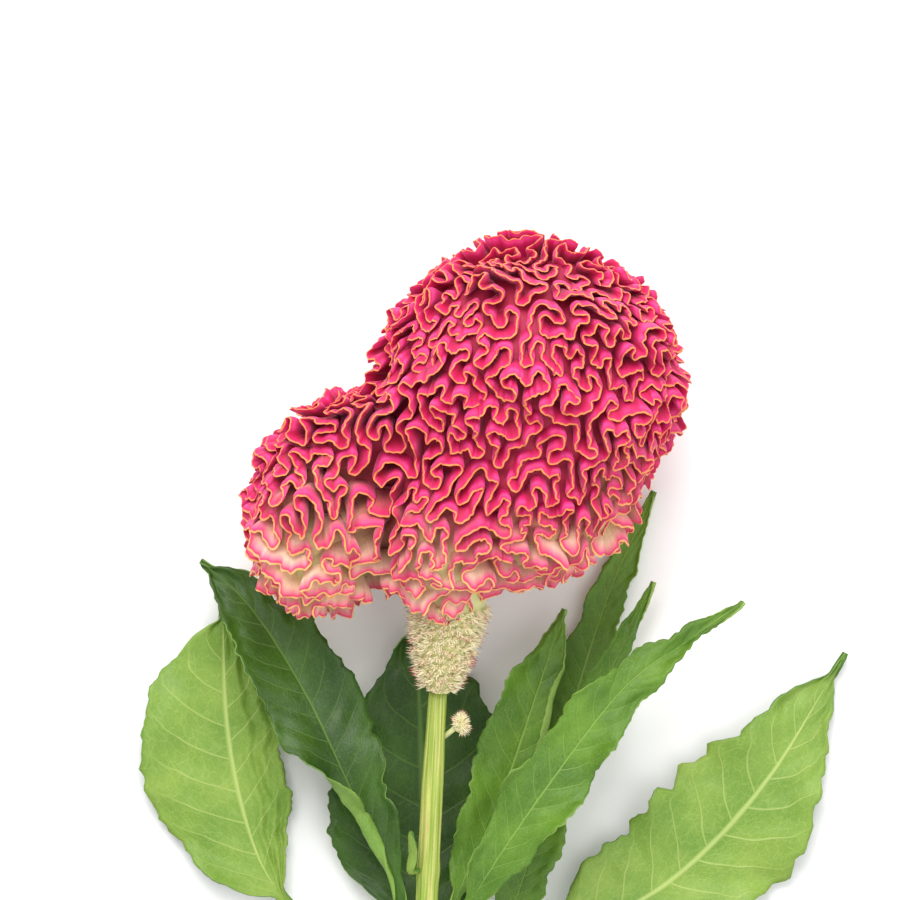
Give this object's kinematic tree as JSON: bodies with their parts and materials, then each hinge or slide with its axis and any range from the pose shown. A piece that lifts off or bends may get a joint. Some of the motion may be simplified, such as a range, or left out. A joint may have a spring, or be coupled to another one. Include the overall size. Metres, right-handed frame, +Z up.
{
  "type": "cockscomb celosia cut flower stem",
  "caption": "Cut cockscomb celosia: a ruffled fan shaped pink flower crest on a ribbed green stalk with long leaves, lying on its back.",
  "frame": {"origin": "middle of the small flattened spot on the back of the comb that the flower rests on", "axes": "+Y along the stem towards the flower, +Z up from the surface, +X to the right seen from above"},
  "size_m": [0.2251, 0.3969, 0.088],
  "materials": {
    "comb": "velvety hot pink folded sheets with pale orange edges",
    "collar": "cream green bristly florets with pink tips",
    "stem": "fresh ribbed yellow green stalk",
    "bud": "cream and pink florets",
    "leaf_dark": "satin dark green upper side",
    "leaf_mid": "satin mid green",
    "leaf_pale": "matt yellow green underside"
  },
  "bodies": {
    "root": {"comb": "comb", "collar": "collar", "stem": "stem", "side_bud": "bud", "bract": "leaf_pale", "leaf_under": "leaf_dark", "leaf_left_dark": "leaf_dark", "leaf_left_pale": "leaf_pale", "leaf_right_broad": "leaf_pale", "leaf_right_inner": "leaf_mid", "leaf_right_long": "leaf_mid", "leaf_right_narrow": "leaf_mid", "leaf_behind": "leaf_mid", "leaf_low_right": "leaf_mid", "leaf_low_left": "leaf_mid", "leaf_foot_right": "leaf_mid", "leaf_foot_left": "leaf_mid"}
  },
  "joints": []
}
